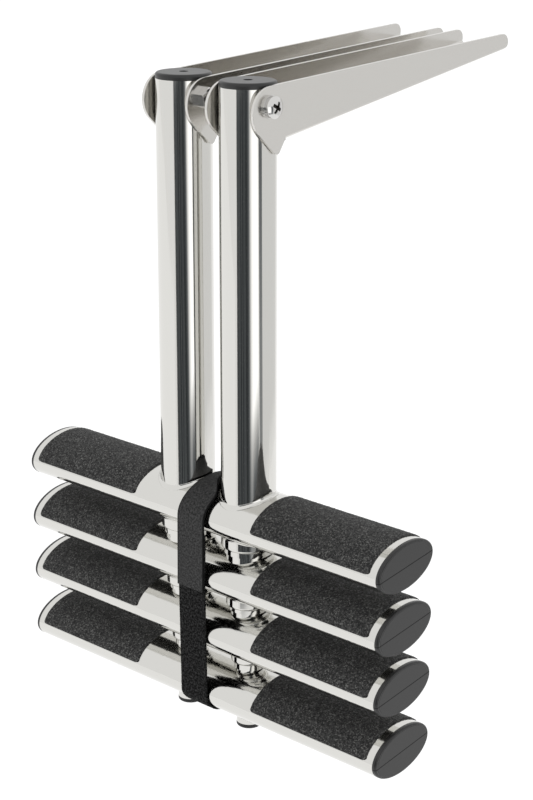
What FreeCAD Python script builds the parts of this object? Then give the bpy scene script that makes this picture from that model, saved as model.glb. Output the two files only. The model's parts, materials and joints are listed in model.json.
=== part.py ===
"""Telescopic boat ladder with four oval treads, drawn closed and hanging from its two deck brackets.

The ladder hangs from two folded steel brackets that are screwed flat on a deck. +X runs along the treads,
+Y points inboard, from the pivots to the brackets' tips, and +Z is up. The origin is on the underside of the
left bracket, on its centre line, at the screw hole nearest the pivot. The tubes lean outboard by the angle
that keeps the treads level. Lengths are in millimetres.
"""
import FreeCAD, Part
import math
import os

import Sketcher
from FreeCAD import Placement, Rotation, Vector

# Driving dimensions: alias, value and what it measures
SIZES = [
    ("stile_pitch", 59.0, "between the centre lines of the two tubes"),
    ("lean", 9.0, "degrees between the tubes and the deck's upright"),
    ("pivot_height", 24.7, "pivot above the deck"),
    ("pivot_reach", 48.0, "pivot outboard of the first screw hole"),
    ("pivot_offset", 2.0, "pivot outboard of the tubes' centre lines, so that the ladder folds flat"),
    ("outer_first", 38.1, "outside diameter of the upper tubes"),
    ("outer_second", 31.8, "outside diameter of the second tubes"),
    ("outer_third", 25.4, "outside diameter of the third tubes"),
    ("outer_fourth", 18.0, "outside diameter of the fourth tubes"),
    ("tube_wall", 1.0, "wall of every tube"),
    ("slide_gap", 0.3, "radial clearance of a tube in the next"),
    ("tube_top", 11.0, "upper tube's end above the pivot"),
    ("pin_room", 32.0, "second tube's upper end below the pivot when closed"),
    ("pitch_second", 43.4, "first to second tread when closed, along the tube"),
    ("pitch_third", 42.5, "second to third tread when closed"),
    ("pitch_fourth", 44.5, "third to fourth tread when closed"),
    ("open_pitch", 280.0, "between treads when drawn out"),
    ("stub_length", 5.0, "full-diameter tube below a tread"),
    ("neck_gap", 0.5, "neck's end above the next tread"),
    ("bell_length", 30.0, "straight part of the expanded upper end"),
    ("bell_cone", 3.0, "cone under the expanded end"),
    ("stop_gap", 0.5, "between the cone and the shoulder that stops it"),
    ("tread_length", 332.6, "metal tread, end to end"),
    ("tread_width", 55.0, "long axis of the oval"),
    ("tread_height", 31.5, "short axis of the oval"),
    ("tread_wall", 1.5, "wall of the oval tube"),
    ("cap_flange", 3.0, "thickness of an end cap outside the tread"),
    ("cap_rounding", 1.5, "rounding of the end cap's rim"),
    ("cap_plug", 12.0, "end cap's plug inside the tread"),
    ("plug_gap", 0.15, "plug to the wall around it"),
    ("pad_thickness", 0.8, "non-slip pad"),
    ("pad_bond", 0.1, "between the pad and the metal, for its glue"),
    ("pad_tube_margin", 7.5, "bare metal from the first tube to the pad"),
    ("pad_end_margin", 5.5, "bare metal from the pad to the end cap"),
    ("pad_edge", 4.0, "pad's lower edge above the oval's long axis"),
    ("pad_corner", 4.0, "corner radius of the pad"),
    ("top_cap_height", 4.0, "top cap above the tube"),
    ("top_cap_plug", 5.5, "top cap's plug inside the tube"),
    ("top_cap_hole", 6.0, "diameter of the top cap's centre hole"),
    ("top_cap_rounding", 2.0, "rounding of the top cap's rim"),
    ("foot_length", 9.0, "tube below the fourth tread"),
    ("foot_flange", 3.4, "foot plug below the tube"),
    ("foot_plug", 12.0, "foot plug inside the tube"),
    ("foot_rounding", 1.8, "rounding of the foot plug"),
    ("sheet", 2.0, "bracket's steel sheet"),
    ("side_gap", 0.5, "bracket plate to tube"),
    ("fold_radius", 3.5, "outside radius of the bracket's folds"),
    ("bracket_reach", 249.9, "bracket's tip inboard of the pivot"),
    ("tip_radius", 6.0, "rounded tip of the plates"),
    ("head_radius", 17.4, "rounded head of the plates round the pivot"),
    ("head_forward", 0.9, "centre of the rounded head, inboard of the pivot"),
    ("head_drop", 4.3, "centre of the rounded head, below the pivot"),
    ("lobe_forward", 1.9, "lobe's point, inboard of the pivot"),
    ("lobe_drop", 7.2, "lobe's point below the deck face"),
    ("lobe_radius", 3.1, "rounding of the lobe's point"),
    ("notch_reach", 10.8, "start of the web's fold, inboard of the pivot"),
    ("notch_radius", 2.4, "rounding of the notch between lobe and fold"),
    ("stop_clearance", 0.3, "hanging tube to the web's hollow end"),
    ("screw_margin", 21.9, "last deck screw to the bracket's tip"),
    ("screw_hole", 6.4, "diameter of the deck screws' holes"),
    ("screw_sink", 9.0, "diameter of their countersinks"),
    ("pin_diameter", 8.0, "shank of the pivot screw"),
    ("pin_clearance", 0.05, "radial clearance of the shank in the plates, the tube and the washers"),
    ("pin_head", 14.5, "diameter of the pan head"),
    ("pin_head_height", 3.6, "height of the pan head"),
    ("pin_head_edge", 1.2, "straight side of the pan head"),
    ("pin_head_flat", 4.0, "diameter of the flat on top of the pan head"),
    ("washer_outer", 15.0, "diameter of the flat washer on the plate"),
    ("washer_thickness", 1.2, "thickness of the flat washer"),
    ("spring_outer", 12.6, "diameter of the spring washer under the head"),
    ("spring_thickness", 2.0, "thickness of the spring washer"),
    ("spring_split", 1.2, "slit of the spring washer"),
    ("nut_width", 13.0, "nut across its flats"),
    ("nut_thickness", 5.5, "thickness of the nut"),
    ("nut_chamfer", 0.9, "bevel round the nut's free face"),
    ("pin_stick", 1.0, "shank's end past the nut"),
    ("strap_width", 25.0, "hook-and-loop strap"),
    ("strap_thickness", 2.0, "strap, all its layers"),
    ("strap_gap", 1.1, "strap to the oval, over the pads' height"),
    ("strap_shift", 1.2, "strap's middle, right of the ladder's middle"),
    ("strap_side", 0.4, "strap to a tube beside it"),
]
SIDES = ("left", "right")
ORDER = ("first", "second", "third", "fourth")
TREADS = range(1, len(ORDER) + 1)
DECK_SCREWS = range(3)
FAR = 400.0

doc = FreeCAD.newDocument("boat_ladder")
sizes = doc.addObject("Spreadsheet::Sheet", "Sizes")
for row, (alias, value, note) in enumerate(SIZES, start=1):
    sizes.set(f"A{row}", note)
    sizes.set(f"B{row}", str(value))
    sizes.setAlias(f"B{row}", alias)
doc.recompute()
pieces = {}


def size(alias):
    """The number in a named cell."""
    return float(sizes.get(alias))


def bind(item, **expressions):
    """Tie properties of an object to cells of the sheet."""
    for name, expression in expressions.items():
        item.setExpression(name, expression)
    return item


def keep(item, name):
    """Name a finished sub-part and list it."""
    item.Label = name
    pieces[name] = item
    return item


def plane(body, role):
    """One of a body's own origin planes."""
    return next(feature for feature in body.Origin.OriginFeatures if feature.Role == role)


def sketch(body, name, role):
    """An empty sketch on one of the body's origin planes."""
    drawing = body.newObject("Sketcher::SketchObject", name)
    drawing.AttachmentSupport = [(plane(body, role), "")]
    drawing.MapMode = "FlatFace"
    return drawing


def new_body(name):
    return doc.addObject("PartDesign::Body", name)


def polyline(points):
    """Line segments through the points, closed."""
    ends = points[1:] + points[:1]
    return [Part.LineSegment(Vector(*a, 0), Vector(*b, 0)) for a, b in zip(points, ends)]


def arc(centre, radius, start, end):
    """An arc of a circle, anticlockwise between two angles in degrees."""
    circle = Part.Circle(Vector(*centre, 0), Vector(0, 0, 1), radius)
    return Part.ArcOfCircle(circle, math.radians(start), math.radians(end))


def line(a, b):
    return Part.LineSegment(Vector(*a, 0), Vector(*b, 0))


# Places that follow from the sizes
LEAN = math.radians(size("lean"))
PIVOT_Y = -size("pivot_reach")
PIVOT_Z = size("pivot_height")
STILE_X = {"left": 0.0, "right": size("stile_pitch")}
MIDDLE_X = size("stile_pitch") / 2
OUTWARD = {"left": -1.0, "right": 1.0}
TREAD_A = size("tread_width") / 2
TREAD_B = size("tread_height") / 2
# Half height and half width of the level oval, measured along and across the leaning tube
TREAD_ALONG = math.hypot(TREAD_A * math.sin(LEAN), TREAD_B * math.cos(LEAN))
TREAD_ACROSS = math.hypot(TREAD_A * math.cos(LEAN), TREAD_B * math.sin(LEAN))


def outer_name(number):
    """The cell of a tube's outside diameter."""
    return f"outer_{ORDER[number - 1]}"


def outer_radius(number):
    return size(outer_name(number)) / 2


def pitch(number):
    """From the tread above to this one when closed, along the tube."""
    return size(f"pitch_{ORDER[number - 1]}")


def travel(number):
    """How far a section slides out of the one above it."""
    return size("open_pitch") - pitch(number)


def bell_above_shoulder(number):
    """From the shoulder that stops a tube, when it is closed, up to its expanded end."""
    return travel(number) + size("stop_gap") + size("bell_cone") + size("bell_length")


def tread_place(number):
    """Distance of a tread's middle below the pivot, along the tube.

    The first lies so low that the closed second tube ends just under the pivot screw.
    """
    first = size("pin_room") + bell_above_shoulder(2) - TREAD_ALONG - size("stub_length")
    return first + sum(pitch(k) for k in TREADS if 1 < k <= number)


def along_tube(x, distance):
    """Placement on a tube's centre line, at a distance below the pivot, local Z up the tube."""
    offset = size("pivot_offset")
    y = PIVOT_Y + offset * math.cos(LEAN) - distance * math.sin(LEAN)
    z = PIVOT_Z - offset * math.sin(LEAN) - distance * math.cos(LEAN)
    return Placement(Vector(x, y, z), Rotation(Vector(1, 0, 0), -size("lean")))


def level_at(x, distance):
    """Placement at the same point with its axes level."""
    return Placement(along_tube(x, distance).Base, Rotation())


def tilted_cylinder(name, radius_expression, x, distance, length):
    """A cylinder along the tube, from a distance below the pivot up to a length above that."""
    rod = doc.addObject("Part::Cylinder", name)
    bind(rod, Radius=radius_expression)
    rod.Height = length
    rod.Placement = along_tube(x, distance)
    return rod


def shoulder_place(number):
    """Where the stub below a tread starts to close, below the pivot along the tube."""
    return tread_place(number) + TREAD_ALONG + size("stub_length")


def tube_profile(number):
    """Half section of a tube as radius and height above the pivot: expanded end, tube, shoulder and neck."""
    wall = size("tube_wall")
    gap = size("slide_gap")
    outer = outer_radius(number)
    if number == 1:
        top = size("tube_top")
        outside = [(outer, top)]
        inside = [(outer - wall, top)]
    else:
        bell = outer_radius(number - 1) - wall - gap
        cone_end = travel(number) + size("stop_gap") - shoulder_place(number - 1)
        cone_top = cone_end + size("bell_cone")
        top = cone_top + size("bell_length")
        outside = [(bell, top), (bell, cone_top), (outer, cone_end)]
        inside = [(bell - wall, top), (bell - wall, cone_top), (outer - wall, cone_end)]
    if number == 4:
        end = -(tread_place(4) + TREAD_ALONG + size("foot_length"))
        outside.append((outer, end))
        inside.append((outer - wall, end))
        return polyline(outside + inside[::-1])
    neck = outer_radius(number + 1) + gap + wall
    shoulder = -shoulder_place(number)
    step = outer - neck
    end = -(tread_place(number + 1) - TREAD_ALONG - size("neck_gap"))
    outside.append((outer, shoulder))
    inside.append((outer - wall, shoulder + wall))
    swage = [
        arc((neck, shoulder), step, 270, 360),
        line((neck, shoulder - step), (neck, end)),
        line((neck, end), (neck - wall, end)),
        line((neck - wall, end), (neck - wall, shoulder + wall - step)),
        arc((neck - wall, shoulder + wall), step, 270, 360),
    ]
    walls = [line(a, b) for side in (outside, inside) for a, b in zip(side, side[1:])]
    return walls + swage + [line(inside[0], outside[0])]


def make_tube(number, side):
    """One drawn tube, revolved. The upper ones are drilled across for the pivot screw."""
    name = f"tube_{number}_{side}"
    body = new_body(name)
    profile = sketch(body, f"{name}_profile", "XZ_Plane")
    profile.addGeometry(tube_profile(number), False)
    turned = body.newObject("PartDesign::Revolution", f"{name}_turned")
    turned.Profile = profile
    turned.ReferenceAxis = (profile, ["V_Axis"])
    doc.recompute()
    if number == 1:
        offset = size("pivot_offset")
        bore = size("pin_diameter") / 2 + size("pin_clearance")
        hole = sketch(body, f"{name}_hole", "YZ_Plane")
        hole.addGeometry(Part.Circle(Vector(-offset, 0, 0), Vector(0, 0, 1), bore), False)
        rules = {
            "Sizes.pivot_offset": Sketcher.Constraint("DistanceX", 0, 3, -1, 1, offset),
            "Sizes.pin_diameter / 2 + Sizes.pin_clearance": Sketcher.Constraint("Radius", 0, bore),
        }
        hole.addConstraint(Sketcher.Constraint("PointOnObject", 0, 3, -1))
        for expression, rule in rules.items():
            hole.setExpression(f"Constraints[{hole.addConstraint(rule)}]", expression)
        drilled = body.newObject("PartDesign::Pocket", f"{name}_drilled")
        drilled.Profile = hole
        drilled.Type = 1
        drilled.Midplane = True
    body.Placement = along_tube(STILE_X[side], 0)
    return keep(body, name)


def oval(half_long, half_short):
    """An ellipse with its long axis along the sketch's first direction."""
    return Part.Ellipse(Vector(0, 0, 0), half_long, half_short)


def oval_pad(body, name, ovals, length_expression, midplane):
    """Ovals drawn across X and padded along it."""
    drawing = sketch(body, f"{name}_oval", "YZ_Plane")
    for half_long, half_short in ovals:
        drawing.addGeometry(oval(half_long, half_short), False)
    pad = body.newObject("PartDesign::Pad", f"{name}_pad")
    pad.Profile = drawing
    pad.Midplane = midplane
    bind(pad, Length=length_expression)
    return pad


def make_tread(number):
    """An oval tube across both stiles, with a leaning hole for each."""
    name = f"tread_{number}"
    body = new_body(f"{name}_tube")
    wall = size("tread_wall")
    ovals = [(TREAD_A, TREAD_B), (TREAD_A - wall, TREAD_B - wall)]
    oval_pad(body, name, ovals, "Sizes.tread_length", True)
    body.Placement = level_at(MIDDLE_X, tread_place(number))
    reach = TREAD_ALONG + outer_radius(number)
    drills = [
        tilted_cylinder(
            f"{name}_hole_{side}",
            f"Sizes.{outer_name(number)} / 2",
            STILE_X[side],
            tread_place(number) + reach,
            2 * reach,
        )
        for side in SIDES
    ]
    tool = doc.addObject("Part::MultiFuse", f"{name}_holes")
    tool.Shapes = drills
    cut = doc.addObject("Part::Cut", f"{name}_cut")
    cut.Base = body
    cut.Tool = tool
    return keep(cut, name)


def make_grip_pad(number, side):
    """A thin skin over the upper half of the oval, round at the corners of its lower edges."""
    name = f"grip_pad_{number}_{side}"
    thick = size("pad_thickness")
    inner_end = size("stile_pitch") / 2 + size("outer_first") / 2 + size("pad_tube_margin")
    outer_end = size("tread_length") / 2 - size("pad_end_margin")
    corner = size("pad_corner")
    edge = size("pad_edge")
    top = TREAD_B + 2 * thick
    deep = TREAD_A + 2 * thick
    skin = new_body(f"{name}_skin")
    bond = size("pad_bond")
    over = bond + thick
    ovals = [(TREAD_A + over, TREAD_B + over), (TREAD_A + bond, TREAD_B + bond)]
    oval_pad(skin, name, ovals, "Sizes.tread_length", True)
    outline = new_body(f"{name}_outline")
    drawing = sketch(outline, f"{name}_front", "XZ_Plane")
    first, last = sorted((OUTWARD[side] * inner_end, OUTWARD[side] * outer_end))
    drawing.addGeometry(
        [
            line((last, edge + corner), (last, top)),
            line((last, top), (first, top)),
            line((first, top), (first, edge + corner)),
            arc((first + corner, edge + corner), corner, 180, 270),
            line((first + corner, edge), (last - corner, edge)),
            arc((last - corner, edge + corner), corner, 270, 360),
        ],
        False,
    )
    block = outline.newObject("PartDesign::Pad", f"{name}_block")
    block.Profile = drawing
    block.Midplane = True
    block.Length = 2 * deep
    skin.Placement = level_at(MIDDLE_X, tread_place(number))
    outline.Placement = skin.Placement
    common = doc.addObject("Part::MultiCommon", f"{name}_common")
    common.Shapes = [skin, outline]
    return keep(common, name)


def make_end_cap(number, side):
    """An oval cap with a rounded rim, its plug inside the tread."""
    name = f"end_cap_{number}_{side}"
    body = new_body(name)
    oval_pad(body, name, [(TREAD_A, TREAD_B)], "Sizes.cap_flange", False)
    doc.recompute()
    flange = body.Tip
    face = max(range(len(flange.Shape.Faces)), key=lambda i: flange.Shape.Faces[i].CenterOfMass.x)
    rim = body.newObject("PartDesign::Fillet", f"{name}_rim")
    rim.Base = (flange, [f"Face{face + 1}"])
    bind(rim, Radius="Sizes.cap_rounding")
    inner = size("tread_wall") + size("plug_gap")
    plug = oval_pad(body, f"{name}_plug", [(TREAD_A - inner, TREAD_B - inner)], "Sizes.cap_plug", False)
    plug.Reversed = True
    turn = Rotation(Vector(0, 0, 1), 0 if side == "right" else 180)
    end = level_at(MIDDLE_X + OUTWARD[side] * size("tread_length") / 2, tread_place(number)).Base
    body.Placement = Placement(end, turn)
    return keep(body, name)


def turned_piece(name, shapes):
    """A body turned about its own Z from a half section."""
    body = new_body(name)
    profile = sketch(body, f"{name}_profile", "XZ_Plane")
    profile.addGeometry(shapes, False)
    turned = body.newObject("PartDesign::Revolution", f"{name}_turned")
    turned.Profile = profile
    turned.ReferenceAxis = (profile, ["V_Axis"])
    return body


def make_top_cap(side):
    """A round cap on the tube's end with a plug inside it and a small hole in its middle."""
    radius = size("outer_first") / 2
    plug = radius - size("tube_wall") - size("plug_gap")
    hole = size("top_cap_hole") / 2
    rounding = size("top_cap_rounding")
    top = size("top_cap_height")
    shapes = [
        line((hole, -size("top_cap_plug")), (plug, -size("top_cap_plug"))),
        line((plug, -size("top_cap_plug")), (plug, 0)),
        line((plug, 0), (radius, 0)),
        line((radius, 0), (radius, top - rounding)),
        arc((radius - rounding, top - rounding), rounding, 0, 90),
        line((radius - rounding, top), (hole, top)),
        line((hole, top), (hole, -size("top_cap_plug"))),
    ]
    body = turned_piece(f"top_cap_{side}", shapes)
    body.Placement = along_tube(STILE_X[side], -size("tube_top"))
    return keep(body, f"top_cap_{side}")


def make_foot_plug(side):
    """A rounded plug in the open end of the fourth tube."""
    radius = size("outer_fourth") / 2
    plug = radius - size("tube_wall") - size("plug_gap")
    rounding = size("foot_rounding")
    bottom = -size("foot_flange")
    shapes = [
        line((0, size("foot_plug")), (0, bottom)),
        line((0, bottom), (radius - rounding, bottom)),
        arc((radius - rounding, bottom + rounding), rounding, 270, 360),
        line((radius, bottom + rounding), (radius, 0)),
        line((radius, 0), (plug, 0)),
        line((plug, 0), (plug, size("foot_plug"))),
        line((plug, size("foot_plug")), (0, size("foot_plug"))),
    ]
    body = turned_piece(f"foot_plug_{side}", shapes)
    end = tread_place(4) + TREAD_ALONG + size("foot_length")
    body.Placement = along_tube(STILE_X[side], end)
    return keep(body, f"foot_plug_{side}")


def outer_tangent(first, first_radius, second, second_radius, turn):
    """Angle of the radius that a common outer tangent of two circles meets."""
    away = math.atan2(second[1] - first[1], second[0] - first[0])
    return away + turn * math.acos((first_radius - second_radius) / math.dist(first, second))


def on_circle(centre, radius, angle):
    return (centre[0] + radius * math.cos(angle), centre[1] + radius * math.sin(angle))


def plate_outline():
    """Side view of a bracket, with the pivot at Y = 0 and the deck at Z = 0.

    A round head about the pivot, a straight top edge down to a round tip, the fold along the deck, a hollow
    notch where the fold starts and a rounded lobe that hangs over the deck's edge.
    """
    head = (size("head_forward"), size("pivot_height") - size("head_drop"))
    head_r = size("head_radius")
    tip_r = size("tip_radius")
    tip = (size("bracket_reach") - tip_r, tip_r)
    lobe_r = size("lobe_radius")
    lobe = (size("lobe_forward"), -size("lobe_drop") + lobe_r)
    notch_r = size("notch_radius")
    notch = (size("notch_reach"), -notch_r)
    top = outer_tangent(head, head_r, tip, tip_r, 1)
    heel = outer_tangent(head, head_r, lobe, lobe_r, -1)
    # The line from the lobe to the notch touches one circle from below and the other from above
    away = math.atan2(notch[1] - lobe[1], notch[0] - lobe[0])
    inner = away - math.acos((lobe_r + notch_r) / math.dist(lobe, notch))
    lobe_out = inner
    notch_in = inner + math.pi
    degrees = math.degrees
    return [
        arc(head, head_r, degrees(top), degrees(heel) % 360),
        line(on_circle(head, head_r, heel), on_circle(lobe, lobe_r, heel)),
        arc(lobe, lobe_r, degrees(heel) % 360, degrees(lobe_out) % 360),
        line(on_circle(lobe, lobe_r, lobe_out), on_circle(notch, notch_r, notch_in)),
        arc(notch, notch_r, 90, degrees(notch_in) % 360),
        line((notch[0], 0), (tip[0], 0)),
        arc(tip, tip_r, 270, degrees(top) + 360),
        line(on_circle(tip, tip_r, top), on_circle(head, head_r, top)),
    ]


def make_bracket(side):
    """A channel folded from sheet: two plates and the web that is screwed to the deck."""
    name = f"bracket_{side}"
    body = new_body(f"{name}_channel")
    outline = sketch(body, f"{name}_outline", "YZ_Plane")
    outline.addGeometry(plate_outline(), False)
    block = body.newObject("PartDesign::Pad", f"{name}_block")
    block.Profile = outline
    block.Midplane = True
    bind(block, Length="Sizes.outer_first + 2 * (Sizes.side_gap + Sizes.sheet)")
    block_place = Placement(Vector(STILE_X[side], PIVOT_Y, 0), Rotation())
    body.Placement = block_place

    inner_x = size("outer_first") / 2 + size("side_gap")
    outer_x = inner_x + size("sheet")
    floor = size("sheet")
    fold = size("fold_radius")
    crease = fold - floor
    channel = new_body(f"{name}_folds")
    section = sketch(channel, f"{name}_section", "XZ_Plane")
    section.addGeometry(
        [
            line((-outer_x, FAR), (-outer_x, fold)),
            arc((fold - outer_x, fold), fold, 180, 270),
            line((fold - outer_x, 0), (outer_x - fold, 0)),
            arc((outer_x - fold, fold), fold, 270, 360),
            line((outer_x, fold), (outer_x, FAR)),
            line((outer_x, FAR), (inner_x, FAR)),
            line((inner_x, FAR), (inner_x, floor + crease)),
            arc((inner_x - crease, floor + crease), crease, 270, 360),
            line((inner_x - crease, floor), (crease - inner_x, floor)),
            arc((crease - inner_x, floor + crease), crease, 180, 270),
            line((-inner_x, floor + crease), (-inner_x, FAR)),
            line((-inner_x, FAR), (-outer_x, FAR)),
        ],
        False,
    )
    folded = channel.newObject("PartDesign::Pad", f"{name}_folded")
    folded.Profile = section
    folded.Reversed = True
    folded.Length = FAR
    channel.Placement = Placement(Vector(STILE_X[side], PIVOT_Y + size("notch_reach"), 0), Rotation())
    flats = []
    for number, low_x in enumerate((-outer_x, inner_x)):
        flat = doc.addObject("Part::Box", f"{name}_flat_{number}")
        bind(flat, Length="Sizes.sheet")
        flat.Width = FAR
        flat.Height = 2 * FAR
        low_y = PIVOT_Y + size("notch_reach") - FAR
        flat.Placement = Placement(Vector(STILE_X[side] + low_x, low_y, -FAR), Rotation())
        flats.append(flat)
    sheet = doc.addObject("Part::MultiFuse", f"{name}_sheet")
    sheet.Shapes = [channel] + flats
    plates = doc.addObject("Part::MultiCommon", f"{name}_plates")
    plates.Shapes = [body, sheet]
    doc.recompute()

    tools = [
        tilted_cylinder(
            f"{name}_tube_room",
            "Sizes.outer_first / 2 + Sizes.stop_clearance",
            STILE_X[side],
            2 * size("pivot_height"),
            2 * size("pivot_height"),
        )
    ]
    run = size("bracket_reach") - size("screw_margin") - size("pivot_reach")
    for number in DECK_SCREWS:
        y = run * number / (len(DECK_SCREWS) - 1)
        shaft = doc.addObject("Part::Cylinder", f"{name}_screw_{number}")
        bind(shaft, Radius="Sizes.screw_hole / 2", Height="3 * Sizes.sheet")
        shaft.Placement.Base = Vector(STILE_X[side], y, -size("sheet"))
        sink = doc.addObject("Part::Cone", f"{name}_sink_{number}")
        bind(
            sink,
            Radius1="Sizes.screw_hole / 2",
            Radius2="Sizes.screw_sink / 2",
            Height="(Sizes.screw_sink - Sizes.screw_hole) / 2",
        )
        depth = (size("screw_sink") - size("screw_hole")) / 2
        sink.Placement.Base = Vector(STILE_X[side], y, size("sheet") - depth)
        tools += [shaft, sink]
    pin = doc.addObject("Part::Cylinder", f"{name}_pin_hole")
    bind(pin, Radius="Sizes.pin_diameter / 2 + Sizes.pin_clearance")
    pin.Height = 2 * outer_x + 2
    pin.Placement = Placement(
        Vector(STILE_X[side] - outer_x - 1, PIVOT_Y, PIVOT_Z), Rotation(Vector(0, 1, 0), 90)
    )
    tools.append(pin)
    tool = doc.addObject("Part::MultiFuse", f"{name}_tools")
    tool.Shapes = tools
    cut = doc.addObject("Part::Cut", f"{name}_cut")
    cut.Base = plates
    cut.Tool = tool
    return keep(cut, name)


def outer_face():
    """Distance of a plate's outer face from its tube's centre line."""
    return size("outer_first") / 2 + size("side_gap") + size("sheet")


def pivot_place(side):
    """Placement on the pivot's axis in the middle of a tube, local Z outwards through the outer plate."""
    turn = Rotation(Vector(0, 1, 0), 90 if side == "right" else -90)
    return Placement(Vector(STILE_X[side], PIVOT_Y, PIVOT_Z), turn)


def ring(name, outer, low, high):
    """A washer about local Z, with the screw's clearance in its hole."""
    inner = size("pin_diameter") / 2 + size("pin_clearance")
    return turned_piece(name, polyline([(inner, low), (outer, low), (outer, high), (inner, high)]))


def make_pivot_screw(side):
    """Pan-head screw, in from the outer plate over its two washers."""
    name = f"pivot_screw_{side}"
    seat = outer_face() + size("washer_thickness") + size("spring_thickness")
    pin = size("pin_diameter") / 2
    head = size("pin_head") / 2
    flat = size("pin_head_flat") / 2
    edge = seat + size("pin_head_edge")
    top = seat + size("pin_head_height")
    end = -(outer_face() + size("nut_thickness") + size("pin_stick"))
    # The dome is an arc that meets the flat top without a corner
    bulge = ((head - flat) ** 2 + (top - edge) ** 2) / (2 * (top - edge))
    half_turn = math.asin((head - flat) / bulge) / 2
    middle = Vector(flat + bulge * math.sin(half_turn), top - bulge * (1 - math.cos(half_turn)), 0)
    shapes = [
        line((0, end), (pin, end)),
        line((pin, end), (pin, seat)),
        line((pin, seat), (head, seat)),
        line((head, seat), (head, edge)),
        Part.Arc(Vector(head, edge, 0), middle, Vector(flat, top, 0)),
        line((flat, top), (0, top)),
        line((0, top), (0, end)),
    ]
    body = turned_piece(name, shapes)
    body.Placement = pivot_place(side)
    return keep(body, name)


def make_flat_washer(side):
    """Washer that lies on the outer plate."""
    name = f"flat_washer_{side}"
    face = outer_face()
    body = ring(name, size("washer_outer") / 2, face, face + size("washer_thickness"))
    body.Placement = pivot_place(side)
    return keep(body, name)


def make_spring_washer(side):
    """Split washer between the flat one and the screw's head, its slit downwards."""
    name = f"spring_washer_{side}"
    low = outer_face() + size("washer_thickness")
    body = ring(f"{name}_ring", size("spring_outer") / 2, low, low + size("spring_thickness"))
    body.Placement = pivot_place(side)
    slit = doc.addObject("Part::Box", f"{name}_slit")
    bind(slit, Width="Sizes.spring_split", Height="Sizes.spring_outer", Length="3 * Sizes.spring_thickness")
    start = min(OUTWARD[side] * low, OUTWARD[side] * (low + size("spring_thickness")))
    corner = Vector(
        STILE_X[side] + start - size("spring_thickness"),
        PIVOT_Y - size("spring_split") / 2,
        PIVOT_Z - size("spring_outer"),
    )
    slit.Placement = Placement(corner, Rotation())
    cut = doc.addObject("Part::Cut", f"{name}_cut")
    cut.Base = body
    cut.Tool = slit
    return keep(cut, name)


def make_pivot_nut(side):
    """Hexagon nut on the inner plate, bevelled on the face between the two brackets."""
    name = f"pivot_nut_{side}"
    body = new_body(f"{name}_prism")
    drawing = sketch(body, f"{name}_hexagon", "XY_Plane")
    radius = size("nut_width") / math.sqrt(3)
    corners = [on_circle((0, 0), radius, math.radians(60 * k)) for k in range(6)]
    drawing.addGeometry(polyline(corners), False)
    drawing.addGeometry(Part.Circle(Vector(0, 0, 0), Vector(0, 0, 1), size("pin_diameter") / 2), False)
    pad = body.newObject("PartDesign::Pad", f"{name}_pad")
    pad.Profile = drawing
    bind(pad, Length="Sizes.nut_thickness")
    pad.Reversed = True
    bevel = size("nut_chamfer")
    rise = bevel * math.tan(math.radians(30))
    thick = size("nut_thickness")
    blank = turned_piece(
        f"{name}_blank",
        polyline([(0, 0), (radius, 0), (radius, rise - thick), (radius - bevel, -thick), (0, -thick)]),
    )
    place = pivot_place(side)
    place.Base.x -= OUTWARD[side] * outer_face()
    body.Placement = place
    blank.Placement = place
    common = doc.addObject("Part::MultiCommon", f"{name}_common")
    common.Shapes = [body, blank]
    return keep(common, name)


def make_strap():
    """The closed loop of strap round all four treads, between the tubes."""
    gap = size("strap_gap")
    thick = size("strap_thickness")
    span = tread_place(4) - tread_place(1)

    def loop(offset):
        """Prism of the loop's outline: two level ovals joined by lines that touch them."""
        a = TREAD_A + offset
        b = TREAD_B + offset
        oval_curve = Part.Ellipse(Vector(0, 0, 0), a, b)
        # Parameter of the oval's point furthest from the leaning line through the treads
        far = math.atan2(b * math.sin(LEAN), a * math.cos(LEAN))
        down = Vector(-span * math.sin(LEAN), -span * math.cos(LEAN), 0)
        back = oval_curve.value(-far)
        front = oval_curve.value(math.pi - far)
        over = Part.ArcOfEllipse(oval_curve, -far, math.pi - far).toShape()
        lower_oval = Part.Ellipse(Vector(0, 0, 0), a, b)
        under = Part.ArcOfEllipse(lower_oval, math.pi - far, 2 * math.pi - far).toShape()
        under.translate(down)
        wire = Part.Wire(
            [
                over,
                Part.makeLine(front, front + down),
                under,
                Part.makeLine(back + down, back),
            ]
        )
        return Part.Face(wire).extrude(Vector(0, 0, size("strap_width")))

    band = loop(gap + thick).cut(loop(gap))
    # Drawn across Y and Z with the width along X
    band.transformShape(Placement(Vector(0, 0, 0), Rotation(Vector(1, 1, 1), 120)).toMatrix())
    start = MIDDLE_X + size("strap_shift") - size("strap_width") / 2
    band.translate(level_at(start, tread_place(1)).Base)
    for side in SIDES:
        for number in (1, 4):
            foot = along_tube(STILE_X[side], tread_place(number) + 2 * TREAD_ALONG)
            radius = outer_radius(number) + size("strap_side")
            rod = Part.makeCylinder(radius, 4 * TREAD_ALONG, Vector(0, 0, 0), Vector(0, 0, 1))
            rod.Placement = foot
            band = band.cut(rod)
    strap = doc.addObject("Part::Feature", "strap")
    strap.Shape = band
    return keep(strap, "strap")


for side in SIDES:
    make_bracket(side)
    make_pivot_screw(side)
    make_flat_washer(side)
    make_spring_washer(side)
    make_pivot_nut(side)
    make_top_cap(side)
    make_foot_plug(side)
    for number in TREADS:
        make_tube(number, side)
        make_grip_pad(number, side)
        make_end_cap(number, side)
for number in TREADS:
    make_tread(number)
make_strap()
doc.recompute()

for item in doc.Objects:
    if "Invalid" in item.State or "Error" in item.State:
        raise RuntimeError(f"{item.Label} failed: {item.State}")
for name, item in pieces.items():
    if item.Shape.isNull() or not item.Shape.isValid() or not item.Shape.Solids:
        raise RuntimeError(f"{name} has no sound solid")

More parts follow.
